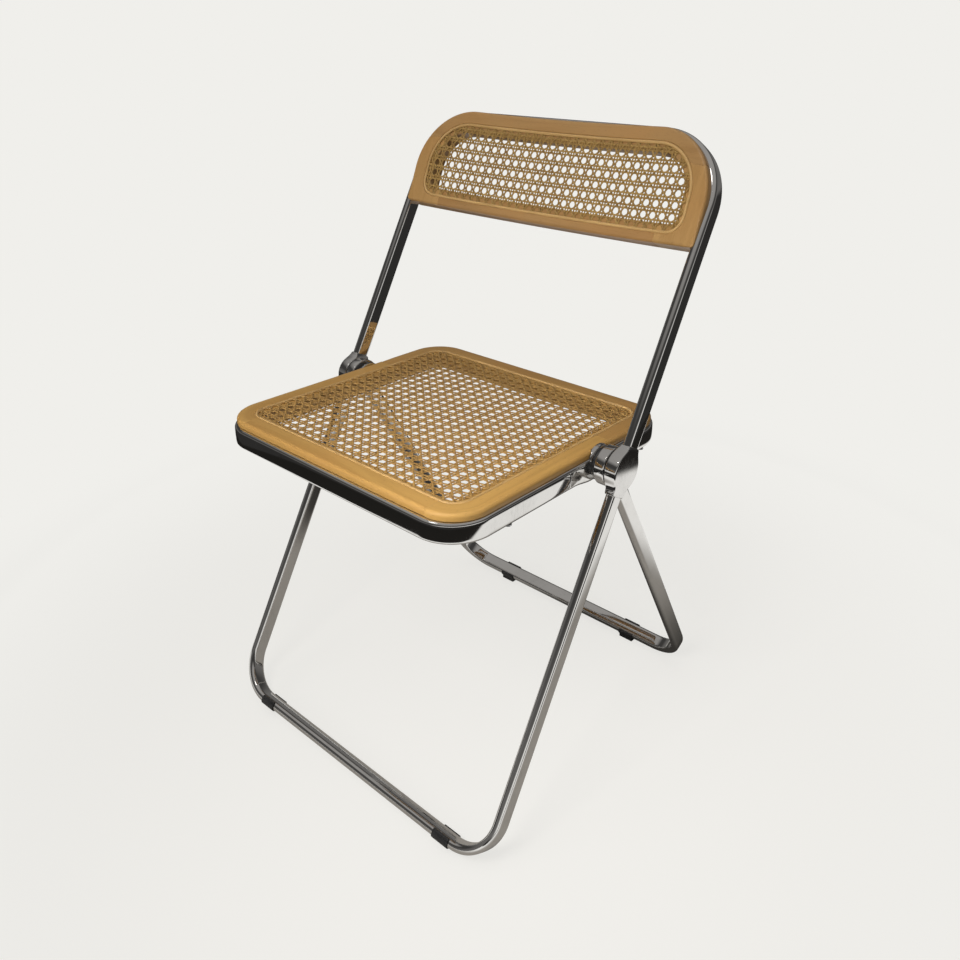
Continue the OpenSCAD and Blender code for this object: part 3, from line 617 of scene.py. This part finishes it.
# the lines that cross an outline, with the run at which each enters and leaves it, found on a fine row of points
def insideSpan(origin, way, length, inside, fine=1600):
    run = np.linspace(0, length, fine)
    spots = origin[:, None] + way[:, None] * run[:, None]
    hit = inside(spots[..., 0], spots[..., 1])
    enters, leaves = run[hit.argmax(1)], run[fine - 1 - hit[:, ::-1].argmax(1)]
    good = hit.any(1) & (leaves - enters > cane.shortest)
    return origin[good], way[good], enters[good, None], leaves[good, None]


# pairs of strips each way and single ones on both slants; they leave eight-sided holes on a square grid
def weave(start, pitch, low, high, inside, surface, seed):
    rng = np.random.default_rng(seed)
    pitch, low, high = np.array(pitch), np.array(low), np.array(high)
    lines = [start[k] + pitch[k] * np.arange(math.ceil((low[k] - start[k]) / pitch[k]),
                                             math.floor((high[k] - start[k]) / pitch[k]) + 1) for k in range(2)]
    apart = cane.pairApart / 2
    grid, slants = [], []
    for k in (1, 0):
        crossings, step = lines[k], pitch[k]
        crossings = np.concatenate([[crossings[0] - step], crossings, [crossings[-1] + step]])
        at = (crossings[:, None] + [-apart, apart, step * cane.flatFrom, step * cane.flatTo]).ravel()
        at = np.concatenate([[low[k] - 1], at, [high[k] + 1]])
        shape = np.concatenate([[0], np.tile([-1.0, 1.0, 0.0, 0.0], len(crossings)), [0]])
        order = np.argsort(at)
        at, shape = at[order], shape[order]
        for member in (-1, 1):
            origin = np.full((len(lines[1 - k]), 2), low[k])
            origin[:, 1 - k] = lines[1 - k] + member * apart
            origin, way, enters, leaves = insideSpan(origin, np.tile(np.eye(2)[k], (len(origin), 1)),
                                                     high[k] - low[k], inside)
            run = np.clip(at - low[k], enters, leaves)
            lift = np.broadcast_to(shape * (member if k else -member) * cane.wave, run.shape)
            grid.append(stripField(origin, way, run, lift, surface, rng.random(len(origin))))
    # slanted strips run midway between the crossings of the pairs, over one set of pairs and under the other
    diagonal = math.hypot(*pitch)
    slope, cell = pitch / diagonal, diagonal / 2
    count = int(((high - low) / pitch).sum()) + 4
    number = np.arange(-2, 2 * count + 2)
    originY = lines[1][0] - pitch[1] * 2
    length = (high[1] - originY) / slope[1] + 4
    at = np.concatenate([[-1], np.arange(0, length, cell / 3), [length + 1]])
    for turn in (1, -1):
        back = math.ceil((high[1] - low[1]) / pitch[1]) + 4 if turn > 0 else 0
        originX = lines[0][0] + (number - 1.5 - back) * pitch[0]
        origin, way, enters, leaves = insideSpan(np.stack([originX, np.full(len(number), originY)], -1),
                                                 np.tile(slope * (turn, 1), (len(number), 1)), length, inside)
        run = np.clip(at, enters, leaves)
        lift = turn * cane.crossWave * np.cos(run / cell * math.pi)
        slants.append(stripField(origin, way, run, lift, surface, rng.random(len(origin))))
    return grid, slants


# inside a rectangle grown by the cane's reach, which rounds its corners
def insideSeat(x, y):
    dx = np.maximum(np.abs(x) - wood.ringX, 0)
    dy = np.maximum(np.maximum(y - wood.rear, wood.front - y), 0)
    return np.hypot(dx, dy) < cane.seatReach


# a level sheet that hangs by the sag in its middle, less with the square of the distance each way
def seatSheet(x, y, height):
    sag = cane.sag * np.clip(1 - (x / cane.sagX) ** 2, 0, 1)
    sag = sag * np.clip(1 - ((y - cane.sagMiddle) / cane.sagY) ** 2, 0, 1)
    return np.stack([x, y, cane.seatLevel + height - sag], -1)


# a round cord carried along a closed line of points with outward directions, at one level or a level for each
def cordShell(line, outward, level, radius, around=14):
    a = np.linspace(0, 2 * math.pi, around, endpoint=False)
    flat = line[:, None] + outward[:, None] * radius * np.cos(a)[:, None]
    height = np.broadcast_to(level, len(line))[:, None] + radius * np.sin(a)
    place = np.stack(np.broadcast_arrays(runAlong(line)[:, None], radius * a, cane.cordLayer), -1)
    return np.stack([flat[..., 0], flat[..., 1], height], -1), place


reach = np.array([cane.seatReach, cane.seatReach])
grid, slants = weave(cane.seatStart, cane.seatPitch, frontLeft - reach, rearRight + reach, insideSeat, seatSheet, 11)
makePiece("seatCaneGrid", grid, "seat", caneSeat, ["seat_cane"])
makePiece("seatCaneSlants", slants, "seat", caneSeat, ["seat_cane"])

middle, outward = joinStations(*[arcStations(corner, first, first + 90, 30) for corner, first in (
    (frontRight, -90), (rearRight, 0), (rearLeft, 90), (frontLeft, 180))])
points, place = cordShell(middle + outward * cane.cordAt, outward, cane.cordLevel, cane.cordRadius)
makePiece("seatCord", [gridShell(points, wrapRows=True, place=place)], "seat", reedCord, ["seat_spline"])
print("seat cane made")


# the backrest; sinks are depths under its hollow front face, and archX is where the top's bends end

backWood = {
    "halfX": 227.0, "low": 252.5, "top": 382.5, "bend": 83.5, "foot": 4.0, "front": 12.0, "lean": 6.7,
    "thick": 23.0, "frontBow": 12.0, "rearBow": 6.0, "bodyX": 221.7, "bodyTop": 375.2, "bodyBend": 78.2,
    "bodyFoot": 1.0, "openX": 206.5, "openLow": 263.0, "openTop": 366.0, "openBend": 60.0, "openFoot": 22.0,
    "tubeFace": 10.5, "jointX": 172.0, "joint": 343.0, "stileKeys": (290.0, 308.0), "archX": 145.0,
    "openArchX": 146.5, "holeIn": 11.0, "holeSink": 3.1, "rimIn": 10.2, "rimSink": 2.3, "grooveWide": 4.0,
    "grooveSink": 3.4, "innerEdge": 0.5, "edge": 3.4, "rearEdge": 2.2, "rearIn": 9.5, "rearLip": 1.5,
    "sideKeys": (1.6, 2.1), "footLip": 5.0, "leastLip": 1.2, "seamDraw": 0.04,
    "stileGrain": (150, 900), "topGrain": 600, "footGrain": 300,
}
panel = SimpleNamespace(**backWood)
bowFront, bowRear = ((panel.halfX ** 2 + bow ** 2) / (2 * bow) for bow in (panel.frontBow, panel.rearBow))
leanTan, leanCos = math.tan(math.radians(panel.lean)), math.cos(math.radians(panel.lean))


# how far the panel's front stands before the plane of the uprights, at x and at s up the upright: an upright
# cylinder's hollow face that leans
def panelFront(x, s):
    hollow = panel.frontBow - bowFront + np.sqrt(bowFront ** 2 - x ** 2)
    return panel.front - hollow / leanCos + (s - panel.low) * leanTan


# the same for its rear, on a rounder cylinder
def panelRear(x, s):
    bulge = panel.thick + panel.rearBow - bowRear + np.sqrt(bowRear ** 2 - x ** 2)
    return panel.front - bulge / leanCos + (s - panel.low) * leanTan


# the right half of an upright rounded rectangle, from the middle of its foot to the middle of its top; its keys are
# the run lengths at which it meets the panel's key lines, so that glue joints cross the wood straight
def archContour(half, low, top, topBend, footBend, archX, fine=400):
    a, b = np.linspace(-math.pi / 2, 0, fine), np.linspace(0, math.pi / 2, 2 * fine)
    footOut, crestOut = np.stack([np.cos(a), np.sin(a)], -1), np.stack([np.cos(b), np.sin(b)], -1)
    foot = (half - footBend, low + footBend) + footBend * footOut
    crest = (half - topBend, top - topBend) + topBend * crestOut
    start, end = np.array([0.0, low]), np.array([0.0, top])
    share = np.linspace(0, 1, fine)[:-1, None]
    points = np.concatenate([start + (foot[0] - start) * share, foot, (foot[-1] + (crest[0] - foot[-1]) * share)[1:],
                             crest, (crest[-1] + (end - crest[-1]) * share)[1:], [end]])
    down, out, up = (np.tile(way, (fine - less, 1)) for way, less in (((0, -1), 1), ((1, 0), 2), ((0, 1), 1)))
    normals = np.concatenate([down, footOut, out, crestOut, up])
    run, x, y = runAlong(points), points[:, 0], points[:, 1]
    side, late = (y > low + 1) & (x > 100), run > run[x.argmax()]
    corner = run[np.argmin(np.abs(normals - (0.7071, -0.7071)).sum(1))]
    keys = np.array([0, np.interp(panel.jointX, x[:fine - 1], run[:fine - 1]), corner,
                     *np.interp([*panel.stileKeys, panel.joint], y[side], run[side]),
                     np.interp(-archX, -x[late], run[late]), run[-1]])
    return {"points": points, "normals": normals, "run": run, "keys": keys}


# points and outward directions of a contour at shares of its eight key numbers
def atKeys(contour, key):
    run = np.interp(key, np.arange(8), contour["keys"])
    points, normals = (np.stack([np.interp(run, contour["run"], values) for values in contour[name].T], -1)
                       for name in ("points", "normals"))
    return points, normals / np.linalg.norm(normals, axis=1, keepdims=True)


opening = archContour(panel.openX, panel.openLow, panel.openTop, panel.openBend, panel.openFoot, panel.openArchX)
lipLine = archContour(panel.halfX, panel.low, panel.top, panel.bend, panel.foot, panel.archX)
bodyLine = archContour(panel.bodyX, panel.low, panel.bodyTop, panel.bodyBend, panel.bodyFoot, panel.archX)


# x, the way up and the depth before the uprights, turned into the front frame's x, y and z
def upright(points):
    return np.stack([points[..., 0], -points[..., 2], points[..., 1]], -1)


# rows of the wood's section at shares of the key numbers: ledge, groove, front face, rounded lip, body and rear face
def panelShell(key, seamDraw):
    inner, innerOut = atKeys(opening, key)
    outer, outerOut = atKeys(lipLine, key)
    body, bodyOut = atKeys(bodyLine, key)
    columns = []

    def add(xy, depth):
        columns.append(np.concatenate([xy, depth[:, None]], 1))

    def front(xy, sink=0.0):
        add(xy, panelFront(*xy.T) - sink)

    hole, groove = inner - panel.holeIn * innerOut, inner - panel.grooveWide * innerOut
    add(hole, panelRear(*hole.T) + panel.rearLip)
    front(hole, panel.holeSink)
    front(inner - panel.rimIn * innerOut, panel.rimSink)
    front(groove, panel.rimSink)
    front(groove, panel.grooveSink)
    front(inner, panel.grooveSink)
    front(inner, panel.innerEdge)
    faceStart = inner + panel.innerEdge * innerOut
    front(faceStart)
    onSide = eased(key, *panel.sideKeys)       # 0 along the foot, 1 where the lip lies on the tube
    faceOuter = panelFront(*outer.T)
    back = onSide * panel.tubeFace + (1 - onSide) * (faceOuter - panel.footLip)
    back = np.minimum(back, faceOuter - panel.leastLip)
    radius = np.minimum(panel.edge, (faceOuter - back) * 0.8)[:, None]
    for share in (0.12, 0.35, 0.62, 0.88):
        front(faceStart + (outer - radius * outerOut - faceStart) * share)
    for a in np.radians([0, 15, 30, 45, 60, 75, 90]):
        front(outer - radius * (1 - math.sin(a)) * outerOut, radius[:, 0] * (1 - math.cos(a)))
    add(outer, back + 0.15)
    add(outer - 0.3 * outerOut * onSide[:, None], back)
    add(body, back)
    for a in np.radians([90, 60, 30, 0]):
        xy = body - panel.rearEdge * (1 - math.sin(a)) * bodyOut
        add(xy, panelRear(*xy.T) + panel.rearEdge * (1 - math.cos(a)))
    rearStart, rearEnd = body - panel.rearEdge * bodyOut, inner - panel.rearIn * innerOut
    for share in (0.3, 0.7, 1.0):
        xy = rearStart + (rearEnd - rearStart) * share
        add(xy, panelRear(*xy.T))
    grid = np.stack(columns, 1)
    drawn = np.zeros((len(key), 1, 1))
    drawn[[0, -1]] = seamDraw
    return upright(grid + (grid.mean(1, keepdims=True) - grid) * drawn)


# key numbers from first to last, in even steps between the whole ones
def keySteps(first, last, each=22):
    return np.unique(np.concatenate([np.linspace(k, k + 1, each) for k in range(first, last)]))


# the grain runs up the stiles and along the rails
stile = panelShell(keySteps(1, 5), panel.seamDraw)
for side, word in sides:
    place = stile[..., [2, 0, 1]] + (0, side * panel.stileGrain[0], panel.stileGrain[1])
    makePiece("backStile_" + word, [gridShell(stile * (side, 1, 1), place=place)], "front", woodShadedStile,
              ["backrest_stile_" + word])
half = panelShell(keySteps(5, 7), 0)
topRail = np.concatenate([half, (half * (-1, 1, 1))[::-1][1:]])
half = panelShell(np.linspace(0, 1, 30), 0)
footRail = np.concatenate([half[::-1], (half * (-1, 1, 1))[1:]])
for word, railPoints, layer in (("Top", topRail, panel.topGrain), ("Bottom", footRail, panel.footGrain)):
    makePiece("backRail" + word, [gridShell(railPoints, place=railPoints[..., [0, 2, 1]] + (0, 0, layer))], "front",
              woodShadedBack, ["backrest_rail_" + word.lower()])


# inside the opening's rounded outline, less a margin
def insidePanel(x, s):
    over, hits = np.abs(x) - panel.openX, []
    for beyond, bend in ((s - panel.openTop, panel.openBend), (panel.openLow - s, panel.openFoot)):
        hits.append(np.hypot(np.maximum(over + bend, 0), np.maximum(beyond + bend, 0)) < bend - cane.backMargin)
    return hits[0] & hits[1]


# a sheet that lies under the hollow front face by the cane's depth
def panelSheet(x, s, height):
    return upright(np.stack([x, s, panelFront(x, s) - cane.backDepth + height], -1))


grid, slants = weave(cane.backStart, cane.backPitch, (-panel.openX, panel.openLow), (panel.openX, panel.openTop),
                     insidePanel, panelSheet, 23)
makePiece("backCaneGrid", grid, "front", caneShadedBack, ["backrest_cane"])
makePiece("backCaneSlants", slants, "front", caneShadedBack, ["backrest_cane"])

half, halfOut = atKeys(opening, keySteps(0, 7, 24))
half = half - cane.backCordIn * halfOut
line, outward = (np.concatenate([part, (part * (-1, 1))[::-1][1:-1]]) for part in (half, halfOut))
points, place = cordShell(line, outward, panelFront(*line.T) - cane.backCordDepth, cane.backCordRadius)
makePiece("backCord", [gridShell(upright(points), wrapRows=True, place=place)], "front", reedCord,
          ["backrest_spline"])
print("backrest made")


# small parts that stay as the CAD has them

dressNodes(["pivot_pin_left", "pivot_pin_right", "stop_pins", "backrest_screws", "backrest_dowels", "seat_screws"],
           steelLook)
dressNodes(["hub_washers", "hub_spacers", "front_foot_left", "front_foot_right", "rear_foot_left",
            "rear_foot_right"], blackLook)


# floor, light and camera, in metres

studioSizes = {
    "backdrop": (0.871, 0.863, 0.831), "softLight": (0.27, 0.265, 0.255), "bandWay": (0.844, -0.536, 0.0),
    "floorRadius": 1.15, "floorLevel": -0.0004, "shade": 0.30, "nearFrom": 0.35, "nearTo": 1.035,
    "floorTone": (0.78, 0.77, 0.74), "nearGlow": (1.0, 0.99, 0.955), "mirrorTone": (0.33, 0.305, 0.27),
    "mirrored": 0.13, "darkTone": (0.04, 0.038, 0.035), "shadowAt": (0.12, 0.26), "shadow": (0.10, 0.26),
    "shadowDark": 0.9, "ringAt": (0.0, 0.10), "ringStretch": (1.0, 1.15, 1.0), "ringStarts": (0.45, 0.66),
    "ringEnds": (0.87, 0.93), "bandHalf": (0.07, 0.14), "bandEnds": (0.35, 0.85),
    "lens": 32.85, "shift": (-0.0408, -0.0763), "turn": 41.084, "rise": 24.317, "roll": -0.860,
    "place": (0.6973, -0.6911, 0.8646),
    "roomStops": [(0.0, 0.03), (0.485, 0.03), (0.505, 0.16), (0.595, 0.12), (0.67, 0.05), (0.76, 0.05),
                  (0.85, 0.31), (1.0, 0.34)],
}
studio = SimpleNamespace(**studioSizes)

angle = np.linspace(0, 2 * math.pi, 96, endpoint=False)
rings = np.array([0.02, 0.3, 0.6, 0.9, 1.0])[:, None] * studio.floorRadius
disc = np.stack(np.broadcast_arrays(rings * np.cos(angle), rings * np.sin(angle), studio.floorLevel), -1)
index = np.arange(disc.size // 3).reshape(disc.shape[:2])
quads = np.stack([index[:-1], index[1:], np.roll(index[1:], -1, 1), np.roll(index[:-1], -1, 1)], -1).reshape(-1, 4)
floorMesh = bpy.data.meshes.new("floor")
floorMesh.from_pydata(disc.reshape(-1, 3), [], [tuple(f) for f in quads.tolist()] + [tuple(index[0].tolist())])
floor = bpy.data.objects.new("floor", floorMesh)
bpy.context.scene.collection.objects.link(floor)


# two numbers, 1 where the camera looks and 1 where a mirror or glass does
def lookers(tree):
    path = tree.new("ShaderNodeLightPath").outputs
    return path["Is Camera Ray"], tree.math("MAXIMUM", path["Is Glossy Ray"], path["Is Transmission Ray"])


floorLook = bpy.data.materials.new("studioFloor")
tree = nodeTree(floorLook)
camera, mirrors = lookers(tree)


def lengthFrom(centre, stretch=(1.0, 1.0, 1.0)):
    spot = tree.new("ShaderNodeTexCoord").outputs["Object"]
    spot = tree.new("ShaderNodeVectorMath", {0: spot, 1: stretch}, operation="MULTIPLY").outputs[0]
    centre = (centre[0] * stretch[0], centre[1] * stretch[1], 0.0)
    return tree.new("ShaderNodeVectorMath", {0: spot, 1: centre}, operation="DISTANCE").outputs["Value"]


near = tree.step(lengthFrom((0.0, 0.0)), studio.nearFrom, studio.nearTo, 1.0, 0.0)
seen = tree.math("MULTIPLY", camera, tree.math("MULTIPLY_ADD", near, -studio.shade, 1.0))
glow = tree.mix(tree.math("MULTIPLY", near, camera), studio.backdrop, studio.nearGlow)
# metal and glass see the pale backdrop faintly near the chair and in full on a ring further out, a painted pool of
# light on the floor that only they see
around, underSeat = lengthFrom(studio.ringAt, studio.ringStretch), lengthFrom(studio.shadowAt)
ring = tree.math("MULTIPLY", tree.step(around, *studio.ringStarts, studio.mirrored, 1.0),
                 tree.step(around, *studio.ringEnds, 1.0, 0.0))
# a painted shadow under the seat, around shadowAt, seen only by mirrors: the pale ring is dimmed there and the floor
# turns to the dark tone
ring = tree.math("MULTIPLY", ring, tree.step(underSeat, *studio.shadow, 1 - studio.shadowDark, 1.0))
amount = tree.math("MAXIMUM", seen, tree.math("MULTIPLY", mirrors, ring))
shadow = tree.math("MULTIPLY", tree.step(underSeat, *studio.shadow, studio.shadowDark, 0.0), mirrors)
dimmed = tree.math("MAXIMUM", tree.step(around, *studio.ringEnds), shadow)
# the camera sees the floor tone and mirrors a darker floor tone; beyond the ring, and in the painted shadow, the
# floor turns to the dark tone
tone = tree.mix(dimmed, tree.mix(camera, studio.mirrorTone, studio.floorTone), studio.darkTone)
matt = tree.new("ShaderNodeBsdfDiffuse", {0: tone}).outputs[0]
glow = tree.new("ShaderNodeEmission", {0: glow}).outputs[0]
mixed = tree.new("ShaderNodeMixShader", {0: amount, 1: matt, 2: glow}).outputs[0]
tree.new("ShaderNodeOutputMaterial", {0: mixed})
floorMesh.materials.append(floorLook)

# matt surfaces get an even soft light; metal sees a dim room with the backdrop as a band at the horizon
world = bpy.data.worlds.new("studioRoom")
bpy.context.scene.world = world
tree = nodeTree(world)
camera, mirrors = lookers(tree)
direction = tree.new("ShaderNodeTexCoord").outputs["Generated"]
rise = tree.new("ShaderNodeSeparateXYZ", {0: direction}).outputs["Z"]
ramp = tree.new("ShaderNodeValToRGB", {0: tree.math("MULTIPLY_ADD", rise, 0.5, 0.5)})
elements = ramp.color_ramp.elements
while len(elements) < len(studio.roomStops):
    elements.new(0.5)
for element, (at, level) in zip(elements, studio.roomStops):
    element.position = at
    element.color = (level, level * 0.97, level * 0.93, 1)
towards = tree.new("ShaderNodeVectorMath", {0: direction, 1: studio.bandWay}, operation="DOT_PRODUCT")
band = tree.math("MULTIPLY", tree.step(tree.math("ABSOLUTE", rise), *studio.bandHalf, 1.0, 0.0),
                 tree.step(towards.outputs["Value"], *studio.bandEnds))
backdrop = tree.math("MAXIMUM", camera, tree.math("MULTIPLY", mirrors, band))
room = tree.new("ShaderNodeBackground", {0: tree.mix(mirrors, studio.softLight, ramp.outputs[0])}).outputs[0]
pale = tree.new("ShaderNodeBackground", {0: studio.backdrop}).outputs[0]
mixed = tree.new("ShaderNodeMixShader", {0: backdrop, 1: room, 2: pale}).outputs[0]
tree.new("ShaderNodeOutputWorld", {0: mixed})


def addLamp(name, place, target, size, power, tint=(1, 1, 1), mirrored=True, spread=180):
    lamp = bpy.data.lights.new(name, "AREA")
    lamp.shape = "RECTANGLE"
    lamp.size = lamp.size_y = size
    lamp.energy = power
    lamp.color = tint
    lamp.spread = math.radians(spread)
    body = bpy.data.objects.new(name, lamp)
    body.location = place
    body.rotation_euler = (Vector(target) - Vector(place)).to_track_quat("-Z", "Y").to_euler()
    body.visible_camera = False
    body.visible_glossy = mirrored
    bpy.context.scene.collection.objects.link(body)


addLamp("skyLamp", (0.1, 0.0, 2.3), (0.0, 0.0, 0.4), 1.6, 6.5, mirrored=False)
addLamp("keyLamp", (0.24, -0.80, 1.05), (0.22, -0.27, 0.43), 0.4, 1.1, (1.0, 0.97, 0.93), False, 70)
addLamp("fillLamp", (-0.5, -1.4, 0.85), (0.0, 0.2, 0.68), 0.8, 1.8, (1.0, 0.98, 0.96), False, 70)
addLamp("sparkLamp", (-0.4, -0.9, 2.2), (0.0, 0.0, 0.4), 0.35, 1.5, (1.0, 0.97, 0.94))

lens = bpy.data.cameras.new("camera")
lens.sensor_fit = "HORIZONTAL"
lens.sensor_width = 36.0
lens.lens = studio.lens
lens.shift_x, lens.shift_y = studio.shift
lens.clip_start, lens.clip_end = 0.01, 100.0
view = bpy.data.objects.new("camera", lens)
turn, rise, roll = (math.radians(v) for v in (studio.turn, studio.rise, studio.roll))
back = Vector((math.sin(turn) * math.cos(rise), -math.cos(turn) * math.cos(rise), math.sin(rise)))
right = Vector((0, 0, 1)).cross(back).normalized()
up = back.cross(right)
rolledRight = right * math.cos(roll) + up * math.sin(roll)
rolledUp = up * math.cos(roll) - right * math.sin(roll)
axes = Matrix((rolledRight, rolledUp, back)).transposed().to_4x4()
view.matrix_world = Matrix.Translation(Vector(studio.place)) @ axes
bpy.context.scene.collection.objects.link(view)
bpy.context.scene.camera = view
bpy.context.scene.view_settings.view_transform = "Standard"
print("stage made")
